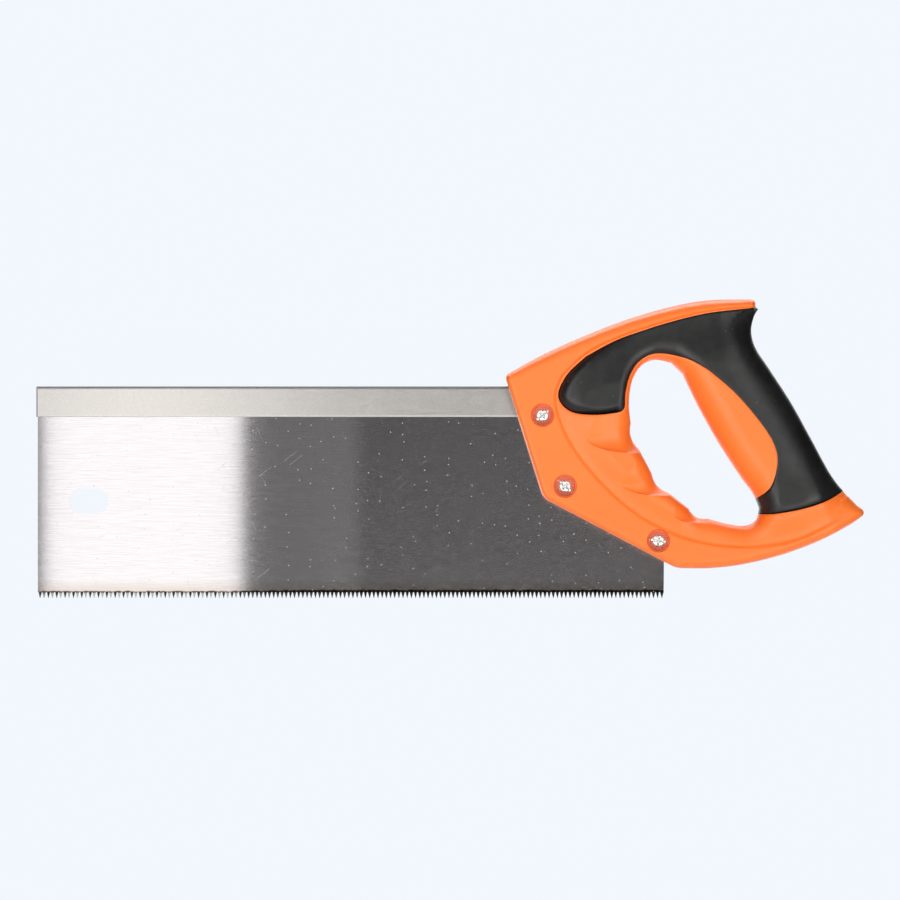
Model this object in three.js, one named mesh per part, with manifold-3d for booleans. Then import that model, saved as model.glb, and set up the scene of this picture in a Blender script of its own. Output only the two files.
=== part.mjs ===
// A 300 mm back saw: a toothed steel sheet, a folded steel spine gripped over its top edge, a moulded
// handle with a soft overmoulded grip, and three slotted saw screws with their sleeve nuts.
// Units are millimetres. While modelling, x runs from the toe to the handle with x = 0 at the heel of
// the toothed edge, y is across the blade with y = 0 in its middle plane, and z = 0 is the tooth tips.
import * as THREE from "three";
import { mergeVertices } from "three/addons/utils/BufferGeometryUtils.js";
import Module from "manifold-3d";

// Driving dimensions.
const BLADE_LENGTH = 300;
const BLADE_THICKNESS = 0.9;
const TOOTH_PITCH = 2;
const TOOTH_DEPTH = 2.9;
const HANG_SLOT = { x: -275.4, z: 46.6, length: 18.5, height: 12.2 };

const SPINE_TOP = 101.5;
const SPINE_HEIGHT = 14.6;
const SPINE_SHEET = 1.2;
const SPINE_OVERHANG = 0.6;
const SPINE_REAR = -63.5;

const CHEEK_HALF = 10.5;
const GRIP_RISE = 4.5;
const RISE_WIDTH = 24;
const PALM_ROUND = { reach: 15, drop: 7 };
const FINGER_ROUND = { reach: 11, drop: 5 };
const RUN_ON = 9;
const THINNEST = 2.6;
const SKIN = 2.5;
const WRAP = 3;
const INTERLOCK_RADIUS = 3;
const SLAB_CELL = 5.2;

const BORE_RADIUS = 3.3;
const COUNTERBORE = { radius: 5.1, depth: 3.5 };
const HEAD = { radius: 4.7, height: 2.3 };
const BARREL_RADIUS = 3;
const THREAD_RADIUS = 1.9;

// Gaps: SNUG between flat sheets, FIT between pieces cut by each other.
const SNUG = 0.05;
const SLOT_PLAY = 0.2;
const FIT = 0.3;
const ROUND = 20;
const FLAT = 0.12; // facets this near one plane are merged

const at = (x, z) => new THREE.Vector2(x, z);
const points = (pairs) => pairs.map(([x, z]) => at(x, z));

// The three saw screws: the centre of each and the way its driver slot is turned, in degrees.
const SCREWS = [
  { name: "upper", x: -58.3, z: 87.6, screwTurn: 39, nutTurn: 20 },
  { name: "middle", x: -47.5, z: 53.7, screwTurn: -40, nutTurn: 75 },
  { name: "lower", x: -2.9, z: 27.6, screwTurn: -9, nutTurn: -30 },
];

// Places where the soft grip's two sides join through the hard core.
const INTERLOCKS = points([
  [-30, 103],
  [16, 124.5],
  [57, 84],
  [70, 55],
]);

const wasm = await Module();
wasm.setup();

// ---- from three.js geometry to solids and back ----

function solid(geometry) {
  const bare = geometry.clone();
  bare.deleteAttribute("normal");
  bare.deleteAttribute("uv");
  const merged = mergeVertices(bare, 1e-4);
  const vertProperties = merged.attributes.position.array;
  const triVerts = new Uint32Array(merged.index.array);
  return new wasm.Manifold(new wasm.Mesh({ numProp: 3, vertProperties, triVerts }));
}

// Cuts that meet along a line can leave slivers beside the piece, so only its largest body is used.
function geometryOf(body) {
  const bodies = body.simplify(FLAT).decompose();
  const mesh = bodies.sort((a, b) => b.volume() - a.volume())[0].getMesh();
  const geometry = new THREE.BufferGeometry();
  geometry.setAttribute("position", new THREE.BufferAttribute(mesh.vertProperties, 3));
  geometry.setIndex(new THREE.BufferAttribute(mesh.triVerts, 1));
  geometry.computeVertexNormals();
  return geometry;
}

// A flat shape, drawn in x and z, given a thickness across the blade.
function plate(shape, thickness, curveSegments = 4) {
  const options = { depth: thickness, bevelEnabled: false, curveSegments };
  const geometry = new THREE.ExtrudeGeometry(shape, options);
  return geometry.translate(0, 0, -thickness / 2).rotateX(Math.PI / 2);
}

// A round bar across the blade between two values of y.
function bar(radius, centre, yFrom, yTo) {
  const geometry = new THREE.CylinderGeometry(radius, radius, yTo - yFrom, ROUND);
  return solid(geometry.translate(centre.x, (yFrom + yTo) / 2, centre.y));
}

function block(xFrom, xTo, thickness, zFrom, zTo) {
  const geometry = new THREE.BoxGeometry(xTo - xFrom, thickness, zTo - zFrom);
  return solid(geometry.translate((xFrom + xTo) / 2, 0, (zFrom + zTo) / 2));
}

// ---- outlines of the handle, in x and z ----

const WIDE = 60; // thicker than any part of the handle, for cutting right through
const CLEAR_X = -110; // in front of the handle
const CLEAR_Z = -10; // below the tooth tips

// The palm side of the grip, from the horn at the top to the foot.
const PALM = points([
  [45.2, 138.4],
  [43.0, 134.6],
  [41.8, 127.5],
  [44.0, 119.6],
  [50.3, 110.0],
  [60.8, 93.8],
  [70.1, 77.0],
  [79.3, 60.1],
  [85.8, 51.3],
]);

function silhouette() {
  const path = new THREE.Shape();
  path.moveTo(-75.3, 103.6);
  path.quadraticCurveTo(-76.3, 106.5, -74.8, 107.4);
  path.splineThru(points([[-59.2, 116.1], [-41.6, 124.2], [-20, 132.7], [2.2, 139.3], [21.2, 142.7], [41.5, 143.1]]));
  path.quadraticCurveTo(43.8, 143.0, 43.8, 140.9);
  path.lineTo(43.8, 139.7);
  path.lineTo(PALM[0].x, PALM[0].y);
  path.splineThru(PALM.slice(1));
  path.lineTo(92.4, 44.5);
  path.lineTo(94.4, 43.1);
  path.quadraticCurveTo(97.0, 40.9, 94.4, 38.9);
  path.splineThru(points([[88.5, 34.8], [74.7, 27.7], [56.6, 20.9], [37.8, 16.3], [22.4, 14.5], [10.5, 14.4]]));
  path.quadraticCurveTo(6.0, 14.3, 3.0, 15.9);
  path.lineTo(-54.8, 46.3);
  path.quadraticCurveTo(-57.9, 47.9, -58.9, 51.3);
  path.closePath();
  return path;
}

// The hand opening. Its front edge has three finger scoops with straight lands between them.
function handOpening() {
  const path = new THREE.Shape();
  path.moveTo(-15.9, 83.7);
  path.splineThru(points([[-16.9, 93.0], [-15.6, 103.4], [-11.3, 110.9], [-4.3, 114.2], [3.3, 112.8], [8.9, 107.4]]));
  path.splineThru(points([[15.7, 93.2], [25.2, 76.0], [35.8, 59.5], [42.7, 49.9], [45.6, 42.9]]));
  path.splineThru(points([[43.9, 37.3], [38.7, 34.7], [30.9, 35.5], [21.2, 38.1]]));
  path.quadraticCurveTo(14.8, 37.3, 11.7, 43.0);
  path.lineTo(2.2, 50.4);
  path.quadraticCurveTo(-4.7, 52.8, -6.0, 60.0);
  path.lineTo(-12.2, 71.5);
  path.quadraticCurveTo(-17.5, 76.5, -15.9, 83.7);
  return path;
}

// The edge of the soft grip: round the thumb pad, over the hand opening, round the bare finger side,
// and across the foot. Past the palm it runs clear of the handle. The grip is on its left.
function gripSeam() {
  const path = new THREE.Path();
  path.moveTo(50, 139.8);
  path.splineThru(points([[36, 138.3], [20.5, 136.4], [5.4, 132.9], [-9.4, 128.4], [-23.9, 123.1], [-37.5, 115.7]]));
  path.splineThru(points([[-46.0, 107.8], [-50.6, 99.2], [-49.6, 93.4], [-43.5, 88.8], [-32.5, 87.7], [-22.6, 88.8]]));
  path.quadraticCurveTo(-19.0, 89.4, -18.9, 92.8);
  path.splineThru(points([[-18.6, 98.8], [-16.2, 107.4], [-11.0, 114.2], [-2.8, 117.1], [10.5, 114.6], [20.7, 109.2]]));
  path.splineThru(points([[32.5, 99.2], [42.9, 87.6], [51.2, 75.6], [53.7, 65.4], [50.7, 53.8], [44.4, 48.1]]));
  path.lineTo(38, 44.5);
  path.lineTo(38, 40.6);
  path.splineThru(points([[46.5, 40.2], [56.0, 40.9], [68.3, 43.5], [78.5, 47.2], [90, 53.9]]));
  return path;
}

// The line where the flat cheek and rims give way to the swelling of the grip.
function cheekLine() {
  const path = new THREE.Path();
  path.moveTo(60, 141.6);
  path.splineThru(points([[43.8, 139.9], [23.2, 138.0], [0.6, 132.9], [-22, 125.3], [-37.5, 117.6], [-48.6, 106.8]]));
  path.splineThru(points([[-52.3, 94.5], [-49.2, 82.1], [-42.4, 69.7], [-33.4, 58.4], [-22, 47], [-10.7, 38.4]]));
  path.splineThru(points([[3.0, 31.4], [17.5, 26.9], [34.5, 24.8], [51.5, 25.6], [68.4, 30.1], [91.5, 42.6]]));
  path.lineTo(110, 55);
  return path;
}

// ---- thickness of the handle ----

const CHEEK_LINE = cheekLine().getPoints(6);
const PALM_LINE = new THREE.SplineCurve(PALM.slice(2).reverse()).getPoints(30);
const FINGER_LINE = new THREE.SplineCurve(
  points([[3.3, 112.8], [8.9, 107.4], [15.7, 93.2], [25.2, 76.0], [35.8, 59.5], [42.7, 49.9]]),
).getPoints(30);

// The distance from a point to a line of the outline plane, negative beside the line on its right.
function distanceFrom(line, p) {
  const from = new THREE.Vector2();
  const along = new THREE.Vector2();
  let nearest = Infinity;
  for (let i = 1; i < line.length; i++) {
    along.subVectors(line[i], line[i - 1]);
    from.subVectors(p, line[i - 1]);
    const share = from.dot(along) / along.lengthSq();
    const pastEnd = (i === 1 && share < 0) || (i === line.length - 1 && share > 1);
    const side = pastEnd || along.cross(from) > 0 ? 1 : -1;
    const distance = from.addScaledVector(along, -THREE.MathUtils.clamp(share, 0, 1)).length();
    if (distance < Math.abs(nearest)) nearest = side * distance;
  }
  return nearest;
}

// How far the surface drops near a rounded edge: a parabola that runs on straight just past the edge.
function roundOver(distance, { reach, drop }) {
  if (distance < -RUN_ON || distance > reach) return 0;
  return distance < 0 ? drop * (1 - (2 * distance) / reach) : drop * (1 - distance / reach) ** 2;
}

// Half the handle's thickness at a point of its outline plane.
function halfThickness(x, z) {
  const p = at(x, z);
  const rise = GRIP_RISE * THREE.MathUtils.smoothstep(distanceFrom(CHEEK_LINE, p), 0, RISE_WIDTH);
  const palm = roundOver(distanceFrom(PALM_LINE, p), PALM_ROUND);
  const finger = roundOver(distanceFrom(FINGER_LINE, p), FINGER_ROUND);
  return Math.max(CHEEK_HALF + rise - palm - finger, THINNEST);
}

// A slab with the handle's thickness everywhere, less `inset` on each side.
function slab(inset) {
  const box = new THREE.Box2().setFromPoints(silhouette().getPoints()).expandByScalar(SLAB_CELL / 2);
  const size = box.getSize(new THREE.Vector2());
  const middle = box.getCenter(new THREE.Vector2());
  const across = Math.round(size.x / SLAB_CELL);
  const up = Math.round(size.y / SLAB_CELL);
  const geometry = new THREE.BoxGeometry(size.x, 2, size.y, across, 1, up);
  geometry.translate(middle.x, 0, middle.y);
  const position = geometry.attributes.position;
  for (let i = 0; i < position.count; i++) {
    const half = halfThickness(position.getX(i), position.getZ(i)) - inset;
    position.setY(i, Math.sign(position.getY(i)) * half);
  }
  return solid(geometry);
}

// ---- the handle and its grip ----

// A line moved sideways, to the right of the way it runs.
function shifted(line, distance) {
  return line.map((p, i) => {
    const before = line[Math.max(i - 1, 0)];
    const after = line[Math.min(i + 1, line.length - 1)];
    const along = after.clone().sub(before).normalize();
    return at(p.x + along.y * distance, p.y - along.x * distance);
  });
}

// The strip reaching `depth` to each side of a line.
function edgeStrip(line, depth) {
  const outline = [...shifted(line, depth), ...shifted(line, -depth).reverse()];
  return solid(plate(new THREE.Shape(outline), WIDE));
}

// The part of the plane where the soft grip shows, less `gap` along its seam.
function gripZone(gap) {
  const seam = shifted(gripSeam().getPoints(4), -gap);
  return solid(plate(new THREE.Shape([...seam, at(105, 60), at(105, 139.8)]), WIDE));
}

const PALM_EDGE = [at(45.9, 144), ...new THREE.SplineCurve(PALM).getPoints(32), at(89, 47.9)];
const RING_EDGE = new THREE.SplineCurve(
  points([[40, 35], [43.9, 37.3], [45.6, 42.9], [42.7, 49.9], [39, 55]]),
).getPoints(16);

// The hard core under the soft grip: `growth` is what a clearance cut adds all round.
function gripCore(growth) {
  const palm = edgeStrip(PALM_EDGE, WRAP - growth);
  const ring = edgeStrip(RING_EDGE, WRAP - growth);
  const holes = INTERLOCKS.map((centre) => bar(INTERLOCK_RADIUS - growth, centre, -WIDE, WIDE));
  return [palm, ring, ...holes].reduce((core, cut) => core.subtract(cut), slab(SKIN - growth));
}

function fullHandle() {
  const outside = solid(plate(silhouette(), WIDE));
  const opening = solid(plate(handOpening(), WIDE));
  return slab(0).intersect(outside).subtract(opening);
}

// The blade's hidden rear end, held inside the handle.
const TANG = points([
  [0, 20],
  [6, 20],
  [6, 32],
  [-36, 66],
  [-43.5, SPINE_TOP - SPINE_SHEET - SNUG],
]);

// The room for the blade and the spine, which is open at the front and below.
function bladeSlot() {
  const play = SLOT_PLAY * 2;
  const [heel, under, ...back] = TANG;
  const sheet = new THREE.Shape([
    at(CLEAR_X, SPINE_TOP),
    at(CLEAR_X, CLEAR_Z),
    at(heel.x + SLOT_PLAY, CLEAR_Z),
    at(heel.x + SLOT_PLAY, heel.y - play),
    at(under.x + play, under.y - play),
    ...back.map(({ x, y }) => at(x + play, Math.min(y + play, SPINE_TOP))),
  ]);
  const spineWidth = BLADE_THICKNESS + 2 * (SNUG + SPINE_SHEET + SLOT_PLAY);
  const spineFoot = SPINE_TOP - SPINE_HEIGHT - SLOT_PLAY;
  const spine = block(CLEAR_X, SPINE_REAR + play, spineWidth, spineFoot, SPINE_TOP + SLOT_PLAY);
  return solid(plate(sheet, BLADE_THICKNESS + 2 * SLOT_PLAY)).add(spine);
}

function handleBody() {
  const grip = gripZone(0).subtract(gripCore(0));
  let body = fullHandle().subtract(grip).subtract(bladeSlot());
  for (const { x, z } of SCREWS) {
    const centre = at(x, z);
    const floor = CHEEK_HALF - COUNTERBORE.depth;
    body = body.subtract(bar(BORE_RADIUS, centre, -WIDE, WIDE));
    body = body.subtract(bar(COUNTERBORE.radius, centre, floor, WIDE));
    body = body.subtract(bar(COUNTERBORE.radius, centre, -WIDE, -floor));
  }
  return geometryOf(body);
}

function softGrip() {
  return geometryOf(fullHandle().intersect(gripZone(FIT)).subtract(gripCore(FIT)));
}

// ---- the steel ----

function blade() {
  const path = new THREE.Shape();
  path.moveTo(-BLADE_LENGTH, SPINE_TOP - SPINE_SHEET - SNUG);
  path.lineTo(-BLADE_LENGTH, TOOTH_DEPTH);
  for (let x = -BLADE_LENGTH; x < 0; x += TOOTH_PITCH) {
    path.lineTo(x + TOOTH_PITCH / 2, 0);
    path.lineTo(x + TOOTH_PITCH, TOOTH_DEPTH);
  }
  for (const corner of TANG) path.lineTo(corner.x, corner.y);
  path.closePath();
  for (const { x, z } of SCREWS) path.holes.push(new THREE.Path().absarc(x, z, BORE_RADIUS, 0, 2 * Math.PI));
  const end = HANG_SLOT.height / 2;
  const half = HANG_SLOT.length / 2 - end;
  const slot = new THREE.Path();
  slot.absarc(HANG_SLOT.x + half, HANG_SLOT.z, end, -Math.PI / 2, Math.PI / 2);
  slot.absarc(HANG_SLOT.x - half, HANG_SLOT.z, end, Math.PI / 2, (3 * Math.PI) / 2);
  path.holes.push(slot);
  return plate(path, BLADE_THICKNESS, 10);
}

// The spine's cross-section is a tight U, folded over the blade's top edge.
function spine() {
  const inner = BLADE_THICKNESS / 2 + SNUG;
  const outer = inner + SPINE_SHEET;
  const foot = -SPINE_HEIGHT;
  const bend = outer * 0.9;
  const path = new THREE.Shape();
  path.moveTo(outer, foot);
  path.lineTo(outer, -bend);
  path.quadraticCurveTo(outer, 0, 0, 0);
  path.quadraticCurveTo(-outer, 0, -outer, -bend);
  path.lineTo(-outer, foot);
  path.lineTo(-inner, foot);
  path.lineTo(-inner, -SPINE_SHEET);
  path.lineTo(inner, -SPINE_SHEET);
  path.lineTo(inner, foot);
  path.closePath();
  const front = -BLADE_LENGTH - SPINE_OVERHANG;
  const length = SPINE_REAR - front;
  const options = { depth: length, steps: 12, bevelEnabled: false, curveSegments: 6 };
  const geometry = new THREE.ExtrudeGeometry(path, options);
  // The section is drawn in x and y; it is turned to stand in y and z and run along x.
  geometry.rotateX(Math.PI / 2).rotateZ(Math.PI / 2);
  return geometry.translate(front, 0, SPINE_TOP);
}

// ---- screws and sleeve nuts ----

const SEAT = CHEEK_HALF - COUNTERBORE.depth + FIT / 3;
const HEAD_PROFILE = [
  [0, SEAT + HEAD.height],
  [HEAD.radius * 0.5, SEAT + HEAD.height * 0.94],
  [HEAD.radius * 0.8, SEAT + HEAD.height * 0.72],
  [HEAD.radius, SEAT + HEAD.height * 0.35],
  [HEAD.radius, SEAT],
];

// A driver slot right across the head, with a cross recess at its middle.
function driverRecess(turn) {
  const top = SEAT + HEAD.height;
  // The length, width and depth of each arm.
  const arms = [
    [HEAD.radius * 2 + 1, 1.1, 1.0],
    [4.4, 1.0, 1.7],
    [1.0, 4.4, 1.7],
  ];
  const cuts = arms.map(([length, width, depth]) => {
    const arm = new THREE.BoxGeometry(length, depth * 2, width).translate(0, top, 0);
    return solid(arm.rotateY(THREE.MathUtils.degToRad(turn)));
  });
  return cuts.reduce((all, cut) => all.add(cut));
}

function turned(profile, turn) {
  const outline = profile.map(([radius, y]) => new THREE.Vector2(radius, y)).reverse();
  const body = solid(new THREE.LatheGeometry(outline, ROUND));
  return geometryOf(body.subtract(driverRecess(turn)));
}

function sleeveNut(turn) {
  const mouth = -(CHEEK_HALF - COUNTERBORE.depth - 0.5);
  const bore = THREAD_RADIUS + FIT;
  const barrel = [
    [BARREL_RADIUS, SEAT],
    [BARREL_RADIUS, mouth],
    [bore, mouth],
    [bore, 3],
    [0, 3],
  ];
  return turned([...HEAD_PROFILE, ...barrel], turn);
}

function sawScrew(turn) {
  const shank = [
    [THREAD_RADIUS, SEAT],
    [THREAD_RADIUS, -1.5],
    [0, -1.5],
  ];
  return turned([...HEAD_PROFILE, ...shank], turn);
}

// ---- the assembly ----

const STEEL = new THREE.MeshStandardMaterial({ color: 0xb8b6b3, metalness: 1, roughness: 0.25 });
const SPINE_STEEL = new THREE.MeshStandardMaterial({ color: 0xc9c5c0, metalness: 1, roughness: 0.45 });
const ORANGE = new THREE.MeshStandardMaterial({ color: 0xff7d26, metalness: 0, roughness: 0.45 });
const BLACK = new THREE.MeshStandardMaterial({ color: 0x2b2b2b, metalness: 0, roughness: 0.65 });
const NICKEL = new THREE.MeshStandardMaterial({ color: 0xe2e0dc, metalness: 1, roughness: 0.2 });

function mesh(name, geometry, material) {
  const made = new THREE.Mesh(geometry, material);
  made.name = name;
  return made;
}

const saw = new THREE.Group();
saw.add(mesh("blade", blade(), STEEL));
saw.add(mesh("spine", spine(), SPINE_STEEL));
saw.add(mesh("handle_body", handleBody(), ORANGE));
saw.add(mesh("soft_grip", softGrip(), BLACK));
for (const { name, x, z, screwTurn, nutTurn } of SCREWS) {
  const nut = mesh("sleeve_nut_" + name, sleeveNut(-nutTurn), NICKEL);
  nut.position.set(x, 0, z);
  // A screw is drawn with its head towards +y and turned half round to enter from the other side.
  const screw = mesh("saw_screw_" + name, sawScrew(screwTurn), NICKEL);
  screw.position.set(x, 0, z);
  screw.rotation.z = Math.PI;
  saw.add(nut, screw);
}

// The part's own frame has its origin under the middle of the whole saw, at the tooth tips.
const bounds = new THREE.Box3().setFromObject(saw);
const centre = bounds.getCenter(new THREE.Vector3());
saw.position.set(-centre.x, 0, -bounds.min.z);

const part = new THREE.Group();
part.add(saw);
export default part;
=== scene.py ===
"""A 300 mm back saw: brushed blade with set teeth, folded spine, orange handle with soft black grip, screws.

Shapes are drawn in millimetres in the blade's plane: x from the toe to the handle, with x = 0 at the heel of
the toothed edge, and z up from the tooth tips. y is across the blade. add_piece() moves them to the frame.
"""

import math

import bpy
import numpy as np
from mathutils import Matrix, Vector
from mathutils.geometry import delaunay_2d_cdt


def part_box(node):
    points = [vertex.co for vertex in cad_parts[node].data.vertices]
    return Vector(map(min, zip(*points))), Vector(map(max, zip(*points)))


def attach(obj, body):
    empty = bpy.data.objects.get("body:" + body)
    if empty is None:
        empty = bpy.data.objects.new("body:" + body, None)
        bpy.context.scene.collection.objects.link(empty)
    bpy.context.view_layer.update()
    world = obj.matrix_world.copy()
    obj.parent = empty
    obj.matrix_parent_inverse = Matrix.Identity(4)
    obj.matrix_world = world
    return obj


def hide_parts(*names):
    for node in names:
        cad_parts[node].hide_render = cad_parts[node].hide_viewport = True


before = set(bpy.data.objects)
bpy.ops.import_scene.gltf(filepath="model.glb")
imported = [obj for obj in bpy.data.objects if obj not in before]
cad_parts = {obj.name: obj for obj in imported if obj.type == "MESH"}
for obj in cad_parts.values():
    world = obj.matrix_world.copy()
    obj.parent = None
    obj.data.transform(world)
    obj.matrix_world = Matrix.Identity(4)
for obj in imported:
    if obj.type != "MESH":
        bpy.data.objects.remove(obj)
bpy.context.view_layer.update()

MM = 0.001
BODY = "root"

# The blade and its teeth.
BLADE_LOW, BLADE_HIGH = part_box("blade")
BLADE_HALF = BLADE_HIGH.y / MM
BLADE_TOP = BLADE_HIGH.z / MM
TOOTH_LINE = 300.0
TOOTH_PITCH = 2.0
TOOTH_DEPTH = 2.9
TOOTH_SET = 0.22
TOOTH_BEVEL = 0.45
TIP_FLAT = 0.12
GULLET_FLAT = 0.24
HEEL = BLADE_LOW.x / MM + TOOTH_LINE
HANG_SLOT = {"x": -275.4, "z": 46.6, "length": 18.5, "height": 12.2}

# The folded spine, its fit on the blade and its play in the handle.
SPINE_LOW, SPINE_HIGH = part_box("spine")
SPINE_FRONT = SPINE_LOW.x / MM - HEEL
SPINE_REAR = SPINE_HIGH.x / MM - HEEL
SPINE_TOP = SPINE_HIGH.z / MM
SPINE_FOOT = SPINE_LOW.z / MM
SPINE_HALF = SPINE_HIGH.y / MM
SPINE_FIT = {"side": 0.06, "top": 0.04}
SPINE_PLAY = 0.25
SPINE_STATIONS = 12

# The blade's rear end, hidden in the handle, from the heel up to the spine, and the play round each corner.
TANG = [(0, 20), (6, 20), (6, 32), (-36, 66), (-43.5, BLADE_TOP)]
TANG_PLAY = [(0.2, -0.4), (0.4, -0.4), (0.4, 0.4), (0.4, 0.4), (0.4, SPINE_TOP - BLADE_TOP)]
BLADE_PLAY = 0.2

# The handle's half thickness at the cheek and at the grip, and the least it has. The rise from cheek to grip
# starts at the crease, and widens between two heights.
CHEEK_HALF = 10.5
GRIP_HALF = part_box("handle_body")[1].y / MM
INSET = 0.02
THINNEST = 1.2
RISE = {"low": 70.0, "low_width": 15.0, "high": 110.0, "high_width": 28.0}

# The crease: a groove, and a step that dies out at some distance. Both fade towards the palm, low down.
GROOVE = {"depth": 0.55, "width": 0.4}
STEP_UP = {"height": 0.4, "start": -0.1, "end": 1.3, "gone": 30.0, "dying": 12.0}
CREASE_FADE = {"x": 90.0, "width": 16.0, "low": 60.0, "high": 70.0}

# How the handle rolls over at its rim and at the hand opening, within most of its thickness. The rim's roll
# may be wider on the grip, and wider still towards the palm.
RIM = {"reach": 5.0, "growth": 1.2, "roundness": 1.9, "ease": 2.5}
PALM = {"reach": 12.0, "start": 25.0, "end": 42.0}
OPENING = {"roundness": 1.2, "ease": 2.0}
MOST_ROLLED = 0.92

# The ends of the foot and of the top rim fall away towards the palm: where each fall starts, the way it runs
# in degrees, how gently it starts, its slope, and the heights where it has gone and where it is full.
FALLS = [
    {"x": 78.0, "z": 36.0, "turn": 20.0, "ease": 3.0, "slope": 0.4, "gone": 70.0, "full": 50.0},
    {"x": 26.0, "z": 140.0, "turn": 0.0, "ease": 6.0, "slope": 0.45, "gone": 120.0, "full": 134.0},
]

# Hollows where the knuckles sit, along the front of the hand opening. Each is an egg shape with a steep lower
# side: its middle, its reach towards the front, its reaches down and up, its turn in degrees and its depth.
# The powers say how each side fades out.
SCOOPS = [
    {"x": -12, "z": 78.5, "reach": 26, "down": 9, "up": 15, "turn": 2, "depth": 4.2},
    {"x": 4, "z": 57.5, "reach": 25, "down": 8, "up": 13, "turn": 5, "depth": 4.2},
    {"x": 17, "z": 43.5, "reach": 13, "down": 7, "up": 9, "turn": 12, "depth": 3.2},
]
GENTLE_POWER = 1.6
STEEP_POWER = 0.65

# The soft grip: its skin over the hard core, its groove at the seam, how far it wraps round the palm, and the
# places where its two sides join through the core.
SKIN = {"depth": 2.5, "share": 0.24}
SEAM = {"depth": 0.4, "width": 0.4}
ON_SEAM = 0.01
WRAP = 3.0
INTERLOCKS = [(-30, 103), (16, 124.5), (57, 84), (70, 55)]
INTERLOCK_RADIUS = 3.0

# The thumb pad: its rise, the share it makes up of the way to the grip's full thickness, the roll down to its
# seam, how much lower its edge is, and how far forward along its top it becomes full. Its lower edge is full
# in front of one place and below another.
PAD = {"rise": 0.5, "level": 0.6, "drop": 4.6, "reach": 5.0, "crown": 0.7, "crown_width": 10.0, "full": 34.0}
PAD_CORNER = {"x": -18.9, "x_width": 5.0, "z": 100.0, "z_width": 8.0}
GRIP_END = {"drop": 1.8, "reach": 7.0}
SOFT_EASE = 1.8

# The screws and the holes they sit in.
SCREWS = {
    "upper": {"x": -58.3, "z": 87.6, "screw_turn": 39, "nut_turn": 20},
    "middle": {"x": -47.5, "z": 53.7, "screw_turn": -40, "nut_turn": 75},
    "lower": {"x": -2.9, "z": 27.6, "screw_turn": -9, "nut_turn": -30},
}
BORE = 3.3
COUNTERBORE = {"radius": 5.1, "floor": 7.0}
HEAD = {"radius": 4.7, "seat": 7.1, "height": 2.3, "crown": 2.4, "dome": 7.0, "slope": 0.68}
SLOT = {"length": 8.3, "width": 1.25, "depth": 1.05}
CROSS = {"length": 3.9, "width": 1.3, "depth": 2.1}
WORN = 0.12
SHANK = {"radius": 1.9, "end": -1.5}
BARREL = {"radius": 3.0, "bore": 2.2, "mouth": -6.5, "end": 3.0}

# How finely shapes are drawn: along lines, over the handle, at set distances beside its lines, and on heads.
STEP = 0.8
GRID = 1.15
RINGS = (0.14, 0.42, 0.85, 1.4, 2.1, 3.0)
LINE_RINGS = RINGS[:4]
HOLE_RINGS = RINGS[:2]
SCOOP_RINGS = (0.9, 0.95, 1.0, 1.05)
CLOSEST = 0.12
BLADE_GRID = 9.0
HEAD_GRID = {"half": 5.0, "spacing": 0.33, "rim": 0.15}
HEAD_RINGS = (0.05, 0.14)
ARC = 7.5

# Places well clear of the handle, where lines that cut right across it start and end.
CLEAR_FRONT = -90.0
CLEAR_FOOT = 5.0
CLEAR_REAR = (105, 139.8)


# ---- lines in the blade's plane ----


class Outline:
    """A line made of straight runs, bends and curves. A point may carry a third number, mixed along."""

    def __init__(self, *start):
        self.points = [np.array(start, float)]

    def _run(self, place, length):
        count = max(1, math.ceil(length / STEP))
        self.points += [place(k / count) for k in range(1, count + 1)]
        return self

    def line(self, *end):
        """Goes straight to a point."""
        a, b = self.points[-1], np.array(end, float)
        return self._run(lambda t: a + (b - a) * t, np.linalg.norm((b - a)[:2]))

    def bend(self, corner, end):
        """Rounds a corner on the way to a point."""
        a, c, b = self.points[-1], np.array(corner, float), np.array(end, float)
        length = np.linalg.norm((c - a)[:2]) + np.linalg.norm((b - c)[:2])
        return self._run(lambda t: a * (1 - t) ** 2 + c * 2 * t * (1 - t) + b * t * t, length)

    def curve(self, *through):
        """Runs smoothly through points."""
        knots = [self.points[-1]] + [np.array(p, float) for p in through]
        for i in range(len(knots) - 1):
            before, a = knots[max(i - 1, 0)], knots[i]
            b, after = knots[i + 1], knots[min(i + 2, len(knots) - 1)]
            self._run(hermite(a, b, (b - before) / 2, (after - a) / 2), np.linalg.norm((b - a)[:2]))
        return self

    def array(self):
        return np.array(self.points)


def hermite(a, b, leaving, arriving):
    """The smooth curve between two points with the given slopes."""

    def place(t):
        t2, t3 = t * t, t * t * t
        ends = a * (2 * t3 - 3 * t2 + 1) + b * (3 * t2 - 2 * t3)
        return ends + leaving * (t3 - 2 * t2 + t) + arriving * (t3 - t2)

    return place


def cos_sin(degrees):
    return math.cos(math.radians(degrees)), math.sin(math.radians(degrees))


def circle(x, z, radius, step=STEP / 2):
    """A closed ring of points."""
    count = max(16, math.ceil(2 * math.pi * radius / step))
    angles = np.arange(count) * 2 * math.pi / count
    return np.column_stack([x + radius * np.cos(angles), z + radius * np.sin(angles)])


def screw_circles(*radii):
    """Rings round the middle of each screw."""
    return [circle(s["x"], s["z"], radius) for s in SCREWS.values() for radius in radii]


def shifted(line, distance):
    """A line moved sideways, to the right of the way it runs."""
    along = np.gradient(line[:, :2], axis=0)
    along /= np.linalg.norm(along, axis=1)[:, None]
    return line[:, :2] + np.column_stack([along[:, 1], -along[:, 0]]) * distance


def inside(points, loop):
    """Which points lie inside a closed loop."""
    found = np.zeros(len(points), bool)
    x, z = points[:, 0], points[:, 1]
    for (ax, az), (bx, bz) in zip(loop[:, :2], np.roll(loop[:, :2], -1, axis=0)):
        if az != bz:
            found ^= ((az > z) != (bz > z)) & (x < (bx - ax) * (z - az) / (bz - az) + ax)
    return found


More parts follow.
